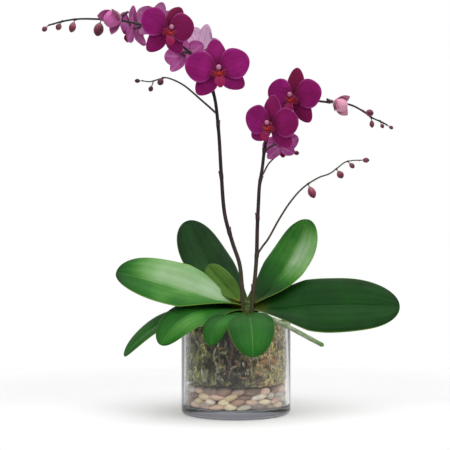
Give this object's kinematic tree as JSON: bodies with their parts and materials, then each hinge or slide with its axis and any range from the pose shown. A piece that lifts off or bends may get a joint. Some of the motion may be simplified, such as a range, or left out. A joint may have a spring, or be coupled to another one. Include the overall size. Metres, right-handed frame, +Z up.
{
  "type": "potted moth orchid",
  "caption": "Moth orchid with arching spikes of magenta blooms and buds over broad strap leaves, planted in moss in a clear glass cylinder over a bed of river pebbles",
  "frame": {"origin": "centre of the glass cylinder's underside, on the surface that it stands on", "axes": "+Z up; -Y is the front, the side seen in the picture; +X is to the right in the picture"},
  "size_m": [0.498, 0.226, 0.5781],
  "materials": {
    "glass": "clear, polished, heavy-based",
    "pebble": "smooth river stone in cream, tan, pink and grey",
    "bark": "damp bark chips and roots",
    "moss": "packed fibrous moss",
    "leaf": "thick waxy green leaf",
    "stem": "dark purple-brown green stem, semi-matt",
    "root": "grey-green aerial root",
    "petal": "velvety magenta petal with darker veins",
    "lip": "crimson lip with an orange throat and a pale column",
    "bud": "pink and wine-coloured buds"
  },
  "bodies": {
    "root": {"glass_cylinder": "glass", "pebbles": "pebble", "root_ball": "bark", "moss": "moss", "crown": "leaf", "spike_left": "stem", "spike_right": "stem", "aerial_root": "root", "leaf_right": "leaf", "leaf_left": "leaf", "leaf_back_right": "leaf", "leaf_back_left": "leaf", "leaf_young": "leaf", "leaf_front": "leaf", "leaf_front_left": "leaf", "leaf_low_left": "leaf", "leaf_lower_left": "leaf", "bloom_1_petals": "petal", "bloom_1_lip": "lip", "bloom_2_petals": "petal", "bloom_2_lip": "lip", "bloom_3_petals": "petal", "bloom_3_lip": "lip", "bloom_4_petals": "petal", "bloom_4_lip": "lip", "bloom_5_petals": "petal", "bloom_5_lip": "lip", "bloom_6_petals": "petal", "bloom_6_lip": "lip", "bloom_7_petals": "petal", "bloom_7_lip": "lip", "bloom_8_petals": "petal", "bloom_8_lip": "lip", "bloom_9_petals": "petal", "bloom_9_lip": "lip", "opening_bud_left": "bud", "opening_bud_right": "bud", "bud_left_1": "bud", "bud_left_2": "bud", "bud_left_3": "bud", "bud_left_4": "bud", "bud_left_branch_1": "bud", "bud_left_branch_2": "bud", "bud_left_branch_3": "bud", "bud_right_1": "bud", "bud_right_2": "bud", "bud_right_3": "bud", "bud_right_4": "bud", "bud_right_branch_1": "bud", "bud_right_branch_2": "bud", "bud_right_branch_3": "bud", "bud_right_branch_4": "bud", "bud_back_branch": "bud"}
  },
  "joints": []
}
